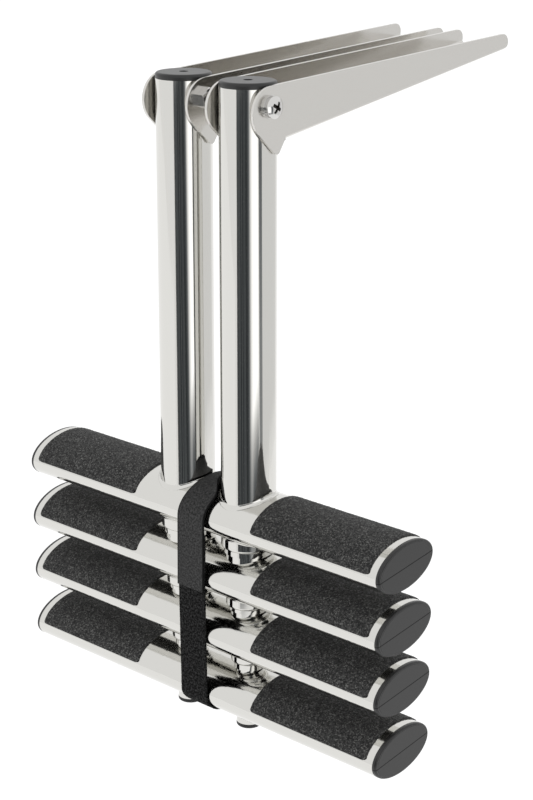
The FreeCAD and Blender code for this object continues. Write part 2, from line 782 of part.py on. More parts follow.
os.makedirs("parts", exist_ok=True)
for name, item in pieces.items():
    item.Shape.exportStep(f"parts/{name}.step")
    print(f"{name}: {len(item.Shape.Solids)} solid, {item.Shape.Volume / 1000:.2f} cm3")
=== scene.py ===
"""Looks of a telescopic boat ladder: polished stainless tubes, gritty treads and a hook-and-loop strap.

Lengths are in metres in the ladder's own frame: +X runs along the treads, +Y points inboard and +Z is up.
The tubes lean outboard by LEAN. Many shapes are worked out in the tubes' frame, which starts at the middle of
the first tread and has its Z up the tubes, and are turned afterwards.
"""
import json
import math

import bmesh
import bpy
import numpy as np
from mathutils import Matrix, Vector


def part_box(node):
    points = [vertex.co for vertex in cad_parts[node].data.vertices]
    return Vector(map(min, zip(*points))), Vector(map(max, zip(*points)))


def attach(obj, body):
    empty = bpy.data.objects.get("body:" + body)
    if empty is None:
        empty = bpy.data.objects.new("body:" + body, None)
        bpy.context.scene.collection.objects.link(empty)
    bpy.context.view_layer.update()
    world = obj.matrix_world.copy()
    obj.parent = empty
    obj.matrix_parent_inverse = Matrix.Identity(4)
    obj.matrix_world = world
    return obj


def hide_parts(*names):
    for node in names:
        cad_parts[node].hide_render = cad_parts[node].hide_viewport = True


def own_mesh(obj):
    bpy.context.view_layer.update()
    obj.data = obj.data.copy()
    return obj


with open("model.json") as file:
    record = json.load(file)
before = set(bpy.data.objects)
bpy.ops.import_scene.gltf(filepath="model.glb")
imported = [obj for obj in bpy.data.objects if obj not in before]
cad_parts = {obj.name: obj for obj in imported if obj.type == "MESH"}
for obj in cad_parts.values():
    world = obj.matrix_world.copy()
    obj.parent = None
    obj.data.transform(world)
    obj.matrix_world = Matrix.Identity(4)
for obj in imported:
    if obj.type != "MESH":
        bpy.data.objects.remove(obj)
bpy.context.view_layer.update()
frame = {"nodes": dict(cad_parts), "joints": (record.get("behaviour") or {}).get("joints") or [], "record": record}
MM = 0.001


# Places read from the frame

joints = {joint["name"]: joint for joint in frame["joints"]}
slide = np.array(joints["section_2_slide"]["axis"], float)
LEAN = math.atan2(-slide[1], -slide[2])
UP_TUBE = -slide / np.linalg.norm(slide)
ACROSS = np.array([0.0, math.cos(LEAN), -math.sin(LEAN)])
TUBE_AXES = np.stack([[1.0, 0.0, 0.0], ACROSS, UP_TUBE])


def middle(node):
    """Centre of a node's box."""
    low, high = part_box(node)
    return (np.array(low) + np.array(high)) / 2


def spans(node):
    """Lengths of a node's box."""
    low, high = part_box(node)
    return np.array(high) - np.array(low)


SECTIONS = (1, 2, 3, 4)
SIDES = ("left", "right")
TREADS = {number: middle(f"tread_{number}") for number in SECTIONS}
# Half axes of a tread's oval
HALF_LONG, HALF_SHORT = spans("tread_1")[1:] / 2
STILE_X = {side: middle(f"tube_1_{side}")[0] for side in SIDES}
# Radii of the drawn tubes where they pass their own tread
TUBE_RADIUS = {1: 19.05 * MM, 2: 15.9 * MM, 3: 12.7 * MM, 4: 9.0 * MM}
BODIES = {1: "upper_section", 2: "second_section", 3: "third_section", 4: "lowest_section"}


def turned(vectors):
    """Vectors of the tubes' frame as vectors of the ladder's frame."""
    return np.asarray(vectors, float) @ TUBE_AXES


def from_tube_frame(points):
    """Points of the tubes' frame as points of the ladder's frame."""
    return TREADS[1] + turned(points)


# Mesh helpers

def grid_faces(rows, columns, close_rows=False, close_columns=False):
    """Quads between neighbours of a grid of points. A closed way joins its last points to its first."""
    row = np.arange(rows if close_rows else rows - 1)
    column = np.arange(columns if close_columns else columns - 1)
    r, c = np.meshgrid(row, column, indexing="ij")
    r2 = (r + 1) % rows
    c2 = (c + 1) % columns
    corners = (r * columns + c, r * columns + c2, r2 * columns + c2, r2 * columns + c)
    return np.stack(corners, -1).reshape(-1, 4)


def mesh_object(name, points, faces, uv=None, smooth=True):
    """A mesh from an array of points and an array or a list of faces."""
    mesh = bpy.data.meshes.new(name)
    places = np.asarray(points).reshape(-1, 3).tolist()
    mesh.from_pydata(places, [], [list(map(int, face)) for face in faces])
    mesh.polygons.foreach_set("use_smooth", np.full(len(mesh.polygons), smooth))
    if uv is not None:
        corners = np.zeros(len(mesh.loops), np.int32)
        mesh.loops.foreach_get("vertex_index", corners)
        layer = mesh.uv_layers.new(name="UVMap")
        layer.data.foreach_set("uv", np.asarray(uv, np.float32).reshape(-1, 2)[corners].ravel())
    mesh.update()
    piece = bpy.data.objects.new(name, mesh)
    bpy.context.scene.collection.objects.link(piece)
    return piece


def seal(piece):
    """Merges the points at poles and seams and turns every face of a closed skin outwards."""
    skin = bmesh.new()
    skin.from_mesh(piece.data)
    bmesh.ops.remove_doubles(skin, verts=skin.verts, dist=0.001 * MM)
    bmesh.ops.recalc_face_normals(skin, faces=skin.faces)
    skin.to_mesh(piece.data)
    skin.free()
    return piece


def place_piece(piece, material, slot, body, *replaced):
    """Gives a piece its finish, the body it moves with and the nodes it replaces. slot is not used."""
    piece.data.materials.append(material)
    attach(piece, body)
    if replaced:
        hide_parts(*replaced)
    return piece


def smooth_step(value, low, high):
    """0 below low, 1 above high, and a cubic ease between them."""
    t = np.clip((value - low) / (high - low), 0, 1)
    return t * t * (3 - 2 * t)


def ripple(u, v, seed, waves=28):
    """A sum of plane waves with random directions, for unevenness that is the same each run."""
    random = np.random.default_rng(seed)
    angle = random.uniform(0, 2 * math.pi, waves)
    phase = random.uniform(0, 2 * math.pi, waves)
    pace = random.uniform(0.5, 1.5, waves)
    total = np.zeros(np.broadcast(u, v).shape)
    for a, p, k in zip(angle, phase, pace):
        total += np.cos(k * (u * math.cos(a) + v * math.sin(a)) + p)
    return total / math.sqrt(waves)


# Shader helpers

def linear(colour):
    """An sRGB hex colour as linear RGBA."""
    values = np.array([int(colour[i:i + 2], 16) for i in (1, 3, 5)]) / 255
    values = np.where(values <= 0.04045, values / 12.92, ((values + 0.055) / 1.055) ** 2.4)
    return (*values.tolist(), 1.0)


def add(tree, kind, inputs=None, **properties):
    """Adds a shader node with its properties and inputs. An input that is a socket gets linked."""
    node = tree.nodes.new(f"ShaderNode{kind}")
    for name, value in properties.items():
        setattr(node, name, value)
    for key, value in (inputs or {}).items():
        if isinstance(value, bpy.types.NodeSocket):
            tree.links.new(value, node.inputs[key])
        else:
            node.inputs[key].default_value = value
    return node


def calculate(tree, operation, *values):
    """The result of a Math node."""
    return add(tree, "Math", dict(enumerate(values)), operation=operation).outputs[0]


def remap(tree, value, low, high, to_low, to_high):
    """A value carried from one range to another and held at its ends."""
    limits = {"From Min": low, "From Max": high, "To Min": to_low, "To Max": to_high}
    return add(tree, "MapRange", {"Value": value, **limits}).outputs[0]


def distance_from(tree, value, place):
    """How far a value lies from a place, either way."""
    return calculate(tree, "ABSOLUTE", calculate(tree, "SUBTRACT", value, place))


def colour_ramp(tree, value, *stops):
    """The colour for a value, blended between stops of a position and an sRGB hex colour, lowest first."""
    tone = add(tree, "ValToRGB", {"Fac": value})
    elements = tone.color_ramp.elements
    for place, (position, colour) in enumerate(stops):
        if place >= len(elements):
            elements.new(position)
        elements[place].position = position
        elements[place].color = linear(colour)
    return tone.outputs[0]


def raise_surface(tree, shader, height, depth, normal=None):
    """Bumps a shader's surface, depth being the rise in metres where the height is 1."""
    inputs = {"Height": height, "Strength": 1.0, "Distance": depth}
    if normal:
        inputs["Normal"] = normal
    bump = add(tree, "Bump", inputs)
    tree.links.new(bump.outputs[0], shader.inputs["Normal"])


def stretched(tree, scale, turn=(0.0, 0.0, 0.0)):
    """Object coordinates, turned and multiplied, so that a noise of scale 1 has one cell per unit."""
    place = add(tree, "TexCoord").outputs["Object"]
    level = add(tree, "Mapping", {"Vector": place, "Rotation": turn}).outputs[0]
    return add(tree, "Mapping", {"Vector": level, "Scale": scale}).outputs[0]


def on_tape(tree, scale):
    """The tape's own map, in metres across and along it, and the same multiplied by a scale."""
    across_along = add(tree, "UVMap", uv_map="UVMap").outputs[0]
    place = add(tree, "Mapping", {"Vector": across_along, "Scale": (scale, scale, 1.0)}).outputs[0]
    return across_along, place


def finish_material(name, surface, build=None):
    """A material with a Principled shader set from surface. build adds what the finish varies by."""
    material = bpy.data.materials.new(name)
    material.use_nodes = True
    tree = material.node_tree
    shader = tree.nodes["Principled BSDF"]
    for key, value in surface.items():
        shader.inputs[key].default_value = value
    if build:
        build(tree, shader)
    return material


# Steel

# Cells of the wide noise to one polishing line, and the usual range of the two noises multiplied
WIDE_SCALE = 0.13
LINES_LOW = 0.12
LINES_HIGH = 0.4


def polish_lines(along, across, axis, rough, spread, depth, edge=0.0):
    """Fine lines left by a polishing wheel: a noise stretched along one axis that varies roughness and bumps.

    Lines on Z follow the leaning tubes. edge is the radius by which the shading rounds sharp edges, where
    sheet or bar has been tumbled.
    """

    def build(tree, shader):
        scale = tuple(1 / (along if axis == name else across) for name in "xyz")
        lean = (LEAN, 0.0, 0.0) if axis == "z" else (0.0, 0.0, 0.0)
        place = stretched(tree, scale, lean)
        lines = add(tree, "TexNoise", {"Vector": place, "Scale": 1.0, "Detail": 3.0, "Roughness": 0.6})
        wide = add(tree, "TexNoise", {"Vector": place, "Scale": WIDE_SCALE, "Detail": 2.0})
        both = calculate(tree, "MULTIPLY", lines.outputs[0], wide.outputs[0])
        gloss = remap(tree, both, LINES_LOW, LINES_HIGH, rough, rough + spread)
        tree.links.new(gloss, shader.inputs["Roughness"])
        rounded = add(tree, "Bevel", {"Radius": edge}, samples=6).outputs[0] if edge else None
        raise_surface(tree, shader, lines.outputs[0], depth, rounded)

    return build


STEEL = {"Metallic": 1.0, "Base Color": linear("#d6d5d1")}

# Stainless tube under a buffing wheel: a near mirror with faint lines along it
tube_steel = finish_material(
    "buffed stainless tube", STEEL, polish_lines(60 * MM, 0.7 * MM, "z", 0.05, 0.05, 0.0015 * MM)
)
# The same buffing on the treads, whose lines run along them
tread_steel = finish_material(
    "buffed stainless tread", STEEL, polish_lines(30 * MM, 0.8 * MM, "x", 0.07, 0.06, 0.0015 * MM)
)
# Cold-rolled sheet with a satin grain along the bracket, a soft grey sheen
bracket_steel = finish_material(
    "satin stainless sheet",
    {"Metallic": 1.0, "Base Color": linear("#d4d2ce")},
    polish_lines(20 * MM, 0.6 * MM, "y", 0.14, 0.06, 0.002 * MM, edge=0.4 * MM),
)
# Turned and tumbled stainless, bright with a slight haze
screw_steel = finish_material(
    "tumbled stainless screw",
    {"Metallic": 1.0, "Base Color": linear("#d2d1cf")},
    polish_lines(1 * MM, 1 * MM, "x", 0.05, 0.05, 0.001 * MM, edge=0.3 * MM),
)
# Painted shade in the screws' cross recess: darker, duller steel stands in for the dark that the recess's deep
# walls reflect
recess_painted_shade = finish_material(
    "steel with painted shade in the recess", {"Metallic": 1.0, "Base Color": linear("#4a4744"), "Roughness": 0.5}
)


# Grit, plastic and rubber

GRAIN = 0.8 * MM
GRAIN_RISE = 0.4 * MM


def grit_build(tree, shader):
    """Crushed mineral in black resin: each grain has its own grey, with dark resin in between.

    The grains are drawn 0.8 mm wide, about twice their real size, so that they show.
    """
    place = stretched(tree, (1 / GRAIN,) * 3)
    grains = add(tree, "TexVoronoi", {"Vector": place, "Scale": 1.0, "Randomness": 1.0}, feature="F1")
    pick = add(tree, "SeparateColor", {"Color": grains.outputs["Color"]}).outputs[0]
    greys = ((0.0, "#171717"), (0.5, "#303030"), (0.85, "#4a4a49"), (1.0, "#686866"))
    tree.links.new(colour_ramp(tree, pick, *greys), shader.inputs["Base Color"])
    fine = add(tree, "TexNoise", {"Vector": place, "Scale": 2.2, "Detail": 3.0, "Roughness": 0.7})
    raise_surface(tree, shader, fine.outputs[0], GRAIN_RISE)


# Non-slip sheet: mineral grit bonded in black resin. The grains shade each other, so little gloss is left
grit_pad = finish_material(
    "bonded mineral grit", {"Roughness": 0.6, "Specular IOR Level": 0.2}, grit_build
)

# Texture of the mould: the size of its cells, and the rise for a height of 1
SPARK_CELL = 0.6 * MM
SPARK_RISE = 0.02 * MM
# The line where the mould's halves met: full within NEAR of the oval's long axis and gone at FAR, both as
# shares of its half height
SEAM_NEAR = 0.012
SEAM_FAR = 0.032
SEAM_HEIGHT = -2.0
SEAM_GLOSS = 0.05
PLAIN_GLOSS = 0.5
# The groove inside an end cap's rim, all as shares of the oval's half axes
GROOVE_PLACE = 0.925
GROOVE_NEAR = 0.006
GROOVE_FAR = 0.02
GROOVE_HEIGHT = -12.0


def moulded(centre=None):
    """Fine spark-eroded texture of a mould.

    Round the centre of an end cap it adds a faint, duller line along the oval, where the mould's halves met,
    and a shallow groove inside the rim.
    """

    def build(tree, shader):
        place = stretched(tree, (1 / SPARK_CELL,) * 3)
        height = add(tree, "TexNoise", {"Vector": place, "Scale": 1.0, "Detail": 2.0}).outputs[0]
        if centre is not None:
            raw = add(tree, "TexCoord").outputs["Object"]
            scale = (0.0, 1 / HALF_LONG, 1 / HALF_SHORT)
            shift = tuple(float(-c * s) for c, s in zip(centre, scale))
            oval = add(tree, "Mapping", {"Vector": raw, "Location": shift, "Scale": scale}).outputs[0]
            off_seam = distance_from(tree, add(tree, "SeparateXYZ", {0: oval}).outputs["Z"], 0.0)
            share = add(tree, "VectorMath", {0: oval}, operation="LENGTH").outputs["Value"]
            off_groove = distance_from(tree, share, GROOVE_PLACE)
            seam = remap(tree, off_seam, SEAM_NEAR, SEAM_FAR, SEAM_HEIGHT, 0.0)
            groove = remap(tree, off_groove, GROOVE_NEAR, GROOVE_FAR, GROOVE_HEIGHT, 0.0)
            height = calculate(tree, "ADD", calculate(tree, "ADD", height, seam), groove)
            gloss = remap(tree, off_seam, SEAM_NEAR, SEAM_FAR, SEAM_GLOSS, PLAIN_GLOSS)
            tree.links.new(gloss, shader.inputs["Specular IOR Level"])
        raise_surface(tree, shader, height, SPARK_RISE)

    return build


# Injection-moulded polyethylene, black with an even low sheen
CAP_SURFACE = {"Base Color": linear("#1c1c1c"), "Roughness": 0.36}
cap_plastic = finish_material("moulded polyethylene", CAP_SURFACE, moulded())
# Black rubber of the feet, duller than the caps
foot_rubber = finish_material(
    "moulded rubber", {"Base Color": linear("#161616"), "Roughness": 0.6}, moulded()
)


# Strap: one tape wound once and a bit round the four treads, woven side out above its seam and pile out below

STRAP_WIDTH = 25.0 * MM
TAPE = 1.2 * MM
TAPE_LIFT = 0.35 * MM
LAYER = TAPE + 0.1 * MM
SAG = 0.1 * MM
STATION = 0.5 * MM
# How far the tape lies right of the ladder's middle
SHIFT_TOP = 2.8 * MM
SHIFT_SEAM = 2.0 * MM
SHIFT_LOW = 3.2 * MM
SHIFT_UNDER = 0.8 * MM
SHIFT_BACK = 0.7 * MM
# Where that passes from the front's to the back's, across the tubes
FRONT_END = -18.0 * MM
BACK_START = -5.0 * MM
# Heights of the seam and of the hidden inner end over the first tread's middle
SEAM_Z = -54.0 * MM
HIDDEN_END_Z = -12.0 * MM
# Between the upper tubes: room beside the left one, the part that stays flat, and the curl of the rest
TUBE_ROOM = 0.4 * MM
SQUEEZE_FLAT = 13.3 * MM
SQUEEZE_CURL = 1 / (6.3 * MM)
SQUEEZE_REACH = 13.0 * MM
# Lengths along the tape from the first tread's front: where the room for the layer below it starts to go and
# is gone, where the pile starts to rise and is full, and where the outer face's finish turns to pile
DOUBLE_TO = 120.0 * MM
SINGLE_FROM = 220.0 * MM
PILE_RISES = 130.0 * MM
PILE_FULL = 200.0 * MM
PILE_FROM = 160.0 * MM
# Relief of the pile, and the cells a metre that both faces are drawn with
PILE_CLUMP = 0.16 * MM
PILE_HEIGHT = 0.14 * MM
PILE_CELLS = 650.0
PILE_BUMP = 0.6 * MM
WEAVE_CELLS = 1000.0
WEAVE_BUMP = 0.12 * MM
SELVEDGE_FROM = 1.2 * MM
SELVEDGE_FULL = 0.6 * MM


def woven_build(tree, shader):
    """Plain weave along the tape's own map, and a tighter, darker selvedge.

    The threads are drawn 1 mm apart, twice their real distance, so that they show.
    """
    across_along, place = on_tape(tree, WEAVE_CELLS)
    checks = add(tree, "TexChecker", {"Vector": place, "Scale": 1.0}).outputs["Fac"]
    soft = add(tree, "TexNoise", {"Vector": place, "Scale": 0.7, "Detail": 4.0, "Roughness": 0.75})
    tone = colour_ramp(tree, soft.outputs[0], (0.4, "#1c1c1c"), (0.62, "#464646"))
    half = STRAP_WIDTH / 2
    off_middle = distance_from(tree, add(tree, "SeparateXYZ", {0: across_along}).outputs["X"], half)
    selvedge = remap(tree, off_middle, half - SELVEDGE_FROM, half - SELVEDGE_FULL, 0.0, 1.0)
    edged = add(tree, "Mix", {0: selvedge, 6: tone, 7: linear("#0d0d0d")}, data_type="RGBA")
    tree.links.new(edged.outputs[2], shader.inputs["Base Color"])
    raise_surface(tree, shader, calculate(tree, "ADD", checks, soft.outputs[0]), WEAVE_BUMP)


def pile_build(tree, shader):
    """Brushed loops: clumps of fibre with dark gaps, drawn 1.5 mm apart so that they show."""
    place = on_tape(tree, PILE_CELLS)[1]
    clumps = add(tree, "TexNoise", {"Vector": place, "Scale": 1.0, "Detail": 5.0, "Roughness": 0.75})
    tone = colour_ramp(tree, clumps.outputs[0], (0.45, "#040404"), (0.66, "#404040"))
    tree.links.new(tone, shader.inputs["Base Color"])
    raise_surface(tree, shader, clumps.outputs[0], PILE_BUMP)


# Woven nylon back of the tape, smooth dark grey with little gloss
woven_nylon = finish_material(
    "woven nylon tape",
    {"Roughness": 0.75, "Specular IOR Level": 0.15, "Sheen Weight": 0.02, "Sheen Roughness": 0.5},
    woven_build,
)
# Loop side of the tape, a brushed nylon pile that swallows light
loop_pile = finish_material(
    "brushed nylon loops",
    {"Roughness": 0.9, "Specular IOR Level": 0.06, "Sheen Weight": 0.01, "Sheen Roughness": 0.6},
    pile_build,
)


def loop_path(offset, stations):
    """The loop round the first and the last tread as points (y, z) with outward normals, in the tubes' frame.

    Each oval stands offset from its tread. Straight lines join the ovals at their points furthest from the
    tubes. The path starts at the front of the first tread and runs up over it, down behind, under the last
    tread and up the front.
    """
    a = HALF_LONG + offset
    b = HALF_SHORT + offset
    far = math.atan2(b * math.sin(LEAN), a * math.cos(LEAN))
    over = np.linspace(math.pi - far, -far, stations)
    under = np.linspace(-far, -math.pi - far, stations)
    last = (TREADS[4] - TREADS[1]) @ TUBE_AXES[1:].T

    def oval(t, centre):
        """Points and normals of the level oval, seen in the tubes' frame."""
        level = np.stack([a * np.cos(t), b * np.sin(t)], -1)
        normal = np.stack([np.cos(t) / a, np.sin(t) / b], -1)
        normal /= np.linalg.norm(normal, axis=1)[:, None]
        tilt = np.array([[math.cos(LEAN), math.sin(LEAN)], [-math.sin(LEAN), math.cos(LEAN)]])
        return level @ tilt + centre, normal @ tilt

    top, top_normal = oval(over, np.zeros(2))
    bottom, bottom_normal = oval(under, last)
    side = np.linspace(0, 1, stations)[1:-1, None]
    back = top[-1] * (1 - side) + bottom[0] * side
    front = bottom[-1] * (1 - side) + top[0] * side
    back_normal = np.repeat(top_normal[-1:], len(side), 0)
    front_normal = np.repeat(bottom_normal[-1:], len(side), 0)
    points = np.concatenate([top, back, bottom, front])
    return points, np.concatenate([top_normal, back_normal, bottom_normal, front_normal])


def strap_line():
    """The tape's inner face as points (y, z), from its outer end at the seam, once round, to its hidden end.

    Gives the length along the loop at each station, the points, their outward normals and the tape's whole
    length. Near its outer end the tape lies on itself, one layer further out.
    """
    path, normals = loop_path(TAPE_LIFT, 400)
    steps = np.linalg.norm(np.diff(path, axis=0, append=path[:1]), axis=1)
    run = np.concatenate([[0], np.cumsum(steps)])
    path = np.concatenate([path, path[:1]])
    normals = np.concatenate([normals, normals[:1]])
    start = SEAM_Z - path[0, 1]
    end = run[-1] + HIDDEN_END_Z - path[0, 1]
    place = np.linspace(start, end, int((end - start) / STATION))
    around = np.mod(place, run[-1])
    y, z = (np.interp(around, run, path[:, k]) for k in (0, 1))
    ny, nz = (np.interp(around, run, normals[:, k]) for k in (0, 1))
    doubled = 1 - smooth_step(place, DOUBLE_TO, SINGLE_FROM)
    lift = LAYER * doubled + SAG * np.clip(-nz, 0, 1) ** 2
    return place, np.stack([y + ny * lift, z + nz * lift], -1), np.stack([ny, nz], -1), end - start


def tube_gap(y):
    """Half the free width between the upper tubes, at a distance y from the plane of their middles."""
    reach = np.sqrt(np.maximum(TUBE_RADIUS[1] ** 2 - y**2, 0))
    half_pitch = (STILE_X["right"] - STILE_X["left"]) / 2
    return half_pitch - reach


def strap_left_edge(path, normals):
    """Where the tape's left edge runs, from the ladder's middle.

    In front the tape lies right of the middle, by an amount of its own at the first tread, the seam and the
    last tread. Behind it lies nearer the middle, so that it clears the second section's tubes when they are
    drawn out.
    """
    y, z = path.T
    last_z = (TREADS[4] - TREADS[1]) @ UP_TUBE
    front = np.interp(z, [last_z, SEAM_Z, 0], [SHIFT_LOW, SHIFT_SEAM, SHIFT_TOP])
    front += SHIFT_UNDER * smooth_step(-normals[:, 1], 0.2, 1.0)
    back = np.interp(z, [last_z, 0], [SHIFT_BACK, SHIFT_TOP])
    left = front + (back - front) * smooth_step(y, FRONT_END, BACK_START) - STRAP_WIDTH / 2
    return np.where(z > 0, np.maximum(left, TUBE_ROOM - tube_gap(y)), left)


def strap_section():
    """The tape's section with round edges: places across the tape, and depths over its inner face."""
    across = np.linspace(0, 1, 41)
    back = across[::-2]
    edge = np.linspace(-math.pi / 2, math.pi / 2, 7)[1:-1]
    half = TAPE / 2
    bulge = half * np.cos(edge)
    slope = half * np.sin(edge)
    w = np.concatenate([across * STRAP_WIDTH, STRAP_WIDTH - half + bulge, back * STRAP_WIDTH, half - bulge])
    depth = np.concatenate([np.full(len(across), TAPE), half - slope, np.zeros(len(back)), half + slope])
    return w, depth


def make_strap():
    """The section carried along the tape's line, as one closed skin.

    Over the first tread, where the gap between the tubes is narrower than the tape, what lies past
    SQUEEZE_FLAT curls up along the tube in an arc of equal length. Below the seam the pile's clumps, a sum of
    waves, raise the outer face.
    """
    place, path, normals, length = strap_line()
    w, depth = strap_section()
    on_top = np.exp(-((path[:, 0] / SQUEEZE_REACH) ** 4)) * (path[:, 1] > 0)
    bend = (SQUEEZE_CURL * on_top)[:, None]
    curled = bend > 1
    safe = np.maximum(bend, 1)
    flat = np.minimum(w, SQUEEZE_FLAT)[None, :]
    past = np.maximum(w - SQUEEZE_FLAT, 0)[None, :]
    angle = past * bend
    x = strap_left_edge(path, normals)[:, None] + flat + np.where(curled, np.sin(angle) / safe, past)
    x = x - depth[None, :] * np.sin(angle)
    out = np.where(curled, (1 - np.cos(angle)) / safe, 0) + depth[None, :] * np.cos(angle)
    pile = PILE_HEIGHT * ripple(w[None, :] / PILE_CLUMP, place[:, None] / PILE_CLUMP, 5)
    rough = smooth_step(place, PILE_RISES, PILE_FULL)[:, None]
    out = out + np.where(depth[None, :] >= TAPE * 0.99, pile * rough, 0)
    y = path[:, :1] + normals[:, :1] * out
    z = path[:, 1:] + normals[:, 1:] * out
    points = from_tube_frame(np.stack([x, y, z], -1))
    rows, columns = x.shape
    faces = grid_faces(rows, columns, close_columns=True)
    ends = [list(range(columns)), list(range((rows - 1) * columns, rows * columns))]
    uv = np.stack(np.broadcast_arrays(w[None, :], place[:, None]), -1)
    strap = mesh_object("hook_and_loop_strap", points, faces.tolist() + ends, uv)
    place_piece(strap, woven_nylon, "strap_webbing", "upper_section", "strap")
    strap.data.materials.append(loop_pile)
    row = np.concatenate([np.arange(len(faces)) // columns, [0, rows - 1]])
    strap.data.polygons.foreach_set("material_index", (place[row] > PILE_FROM).astype(np.int32))
    seal(strap)
    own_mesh(strap)
    return strap


# Finishes of the carried-over nodes

NODE_FINISHES = {
    "bracket_steel": bracket_steel,
    "screw_steel": screw_steel,
    "tube_steel": tube_steel,
    "tread_steel": tread_steel,
    "grip_pad": grit_pad,
    "cap_plastic": cap_plastic,
    "foot_rubber": foot_rubber,
    "strap_webbing": loop_pile,
}


def dress(node, material):
    """Gives a carried-over node its finish."""
    piece = frame["nodes"][node]
    for place in piece.material_slots:
        place.material = material
    if not piece.material_slots:
        piece.data.materials.append(material)


for part in frame["record"]["subparts"]:
    dress(part["node"], NODE_FINISHES[part["material_slot"]])
for number in SECTIONS:
    capped = finish_material(
        f"moulded polyethylene {number}", CAP_SURFACE, moulded(TREADS[number])
    )
    for side in SIDES:
        dress(f"end_cap_{number}_{side}", capped)


# Grip pads: the grit is real relief on the pad's own surface

# The pad's face over the tread, with its glue
PAD_LIFT = 0.9 * MM
PAD_CORNER = 4.0 * MM
PAD_STEP = 0.55 * MM
# Width over which the rim turns in, and how deep
PAD_RIM = 0.5 * MM
PAD_SINK = 1.0 * MM
GRIT_HEIGHT = 0.075 * MM
GRIT_LIMIT = 0.3 * MM


def make_grip_pad(number, side):
    """The pad's skin as a grid over the oval, raised by grains, and turned in at its rim to the metal.

    Along X the grid runs over the pad's length. Round the oval it runs by the oval's parameter t, where a
    point is (a cos t, b sin t). The rim's corners are rounded by pulling the grid's end columns in along a
    quarter circle of the corner's radius.
    """
    node = f"grip_pad_{number}_{side}"
    low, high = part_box(node)
    half_long = HALF_LONG + PAD_LIFT
    half_short = HALF_SHORT + PAD_LIFT
    start = math.asin((float(low[2]) - TREADS[number][2]) / half_short)
    arc = np.linspace(start, math.pi - start, 4000)
    steps = np.hypot(half_long * np.diff(np.cos(arc)), half_short * np.diff(np.sin(arc)))
    run = np.concatenate([[0], np.cumsum(steps)])
    rows = int(run[-1] / PAD_STEP)
    place = np.linspace(0, run[-1], rows)
    t = np.interp(place, run, arc)
    from_rim = np.minimum(place, run[-1] - place)
    chord = np.sqrt(np.maximum(PAD_CORNER**2 - (PAD_CORNER - from_rim) ** 2, 0))
    inset = np.where(from_rim < PAD_CORNER, PAD_CORNER - chord, 0)
    columns = int((high[0] - low[0]) / PAD_STEP)
    share = np.linspace(0, 1, columns)
    x = (low[0] + inset)[:, None] * (1 - share) + (high[0] - inset)[:, None] * share
    rim = np.minimum(from_rim[:, None], np.minimum(x - low[0], high[0] - x))
    random = np.random.default_rng(100 * number + SIDES.index(side))
    grain = random.normal(0, 1, (rows, columns))
    grain = grain + 0.5 * (np.roll(grain, 1, 0) + np.roll(grain, 1, 1))
    height = GRIT_HEIGHT * grain * smooth_step(rim, 0, 2 * PAD_RIM)
    sink = PAD_SINK * (1 - np.sqrt(np.clip(rim / PAD_RIM, 0, 1)))
    lift = np.minimum(height - sink, GRIT_LIMIT)
    normal = np.stack([np.cos(t) / half_long, np.sin(t) / half_short], -1)
    normal /= np.linalg.norm(normal, axis=1)[:, None]
    y = TREADS[number][1] + half_long * np.cos(t)[:, None] + normal[:, :1] * lift
    z = TREADS[number][2] + half_short * np.sin(t)[:, None] + normal[:, 1:] * lift
    pad = mesh_object(f"grit_{number}_{side}", np.stack([x, y, z], -1), grid_faces(rows, columns))
    return place_piece(pad, grit_pad, "grip_pad", BODIES[number], node)


for number in SECTIONS:
    for side in SIDES:
        make_grip_pad(number, side)

make_strap()


# Welds: polished fillets where the tubes pass through the treads

WELD_TOP = 1.8 * MM
WELD_BELOW = 1.5 * MM
WELD_ROOT = 0.3 * MM
WELD_TOE = 0.35 * MM
TURN_STEPS = 96


def oval_height(across, way):
    """Height of a tread's surface over its middle, along the tube, at a distance across it. way is 1 or -1.

    In the tube's frame a point (y, z) lies on the level oval where
    (y c + z s)^2 / a^2 + (z c - y s)^2 / b^2 = 1, with c and s of LEAN: a quadratic in z.
    """
    c, s = math.cos(LEAN), math.sin(LEAN)
    first = s * s / HALF_LONG**2 + c * c / HALF_SHORT**2
    second = 2 * across * s * c * (1 / HALF_LONG**2 - 1 / HALF_SHORT**2)
    third = across**2 * (c * c / HALF_LONG**2 + s * s / HALF_SHORT**2) - 1
    return (-second + way * np.sqrt(second**2 - 4 * first * third)) / (2 * first)


def make_weld(number, side, way):
    """A concave fillet carried round the tube.

    Its section is a quarter circle from the tube's wall to a low toe that stands on the tread's surface,
    closed by a root inside the metal. Each point of it is set by a radius from the tube's axis and a height
    over the oval at that radius.
    """
    leg = WELD_TOP if way > 0 else WELD_BELOW
    wall = TUBE_RADIUS[number]
    root = wall - WELD_ROOT
    quarter = np.linspace(math.pi, 1.5 * math.pi, 9)
    radius = np.concatenate([wall + leg + leg * np.cos(quarter), [wall + leg, root, root]])
    hollow = leg + leg * np.sin(quarter) + WELD_TOE
    rise = np.concatenate([hollow, [-WELD_ROOT, -WELD_ROOT, leg + WELD_TOE]])
    turn = np.linspace(0, 2 * math.pi, TURN_STEPS, endpoint=False)[:, None]
    x = STILE_X[side] - TREADS[1][0] + radius * np.cos(turn)
    y = radius * np.sin(turn)
    z = oval_height(y, way) + way * rise + (TREADS[number] - TREADS[1]) @ UP_TUBE
    points = from_tube_frame(np.stack([x, y, z], -1))
    faces = grid_faces(len(turn), len(radius), True, True)
    place_name = "above" if way > 0 else "below"
    weld = seal(mesh_object(f"weld_{place_name}_{number}_{side}", points, faces))
    return place_piece(weld, tread_steel, "tread_steel", BODIES[number])


for side in SIDES:
    make_weld(1, side, 1)
    for number in SECTIONS:
        make_weld(number, side, -1)


# Pivot screws, with a cross recess in the dome and a thread at the nut's end

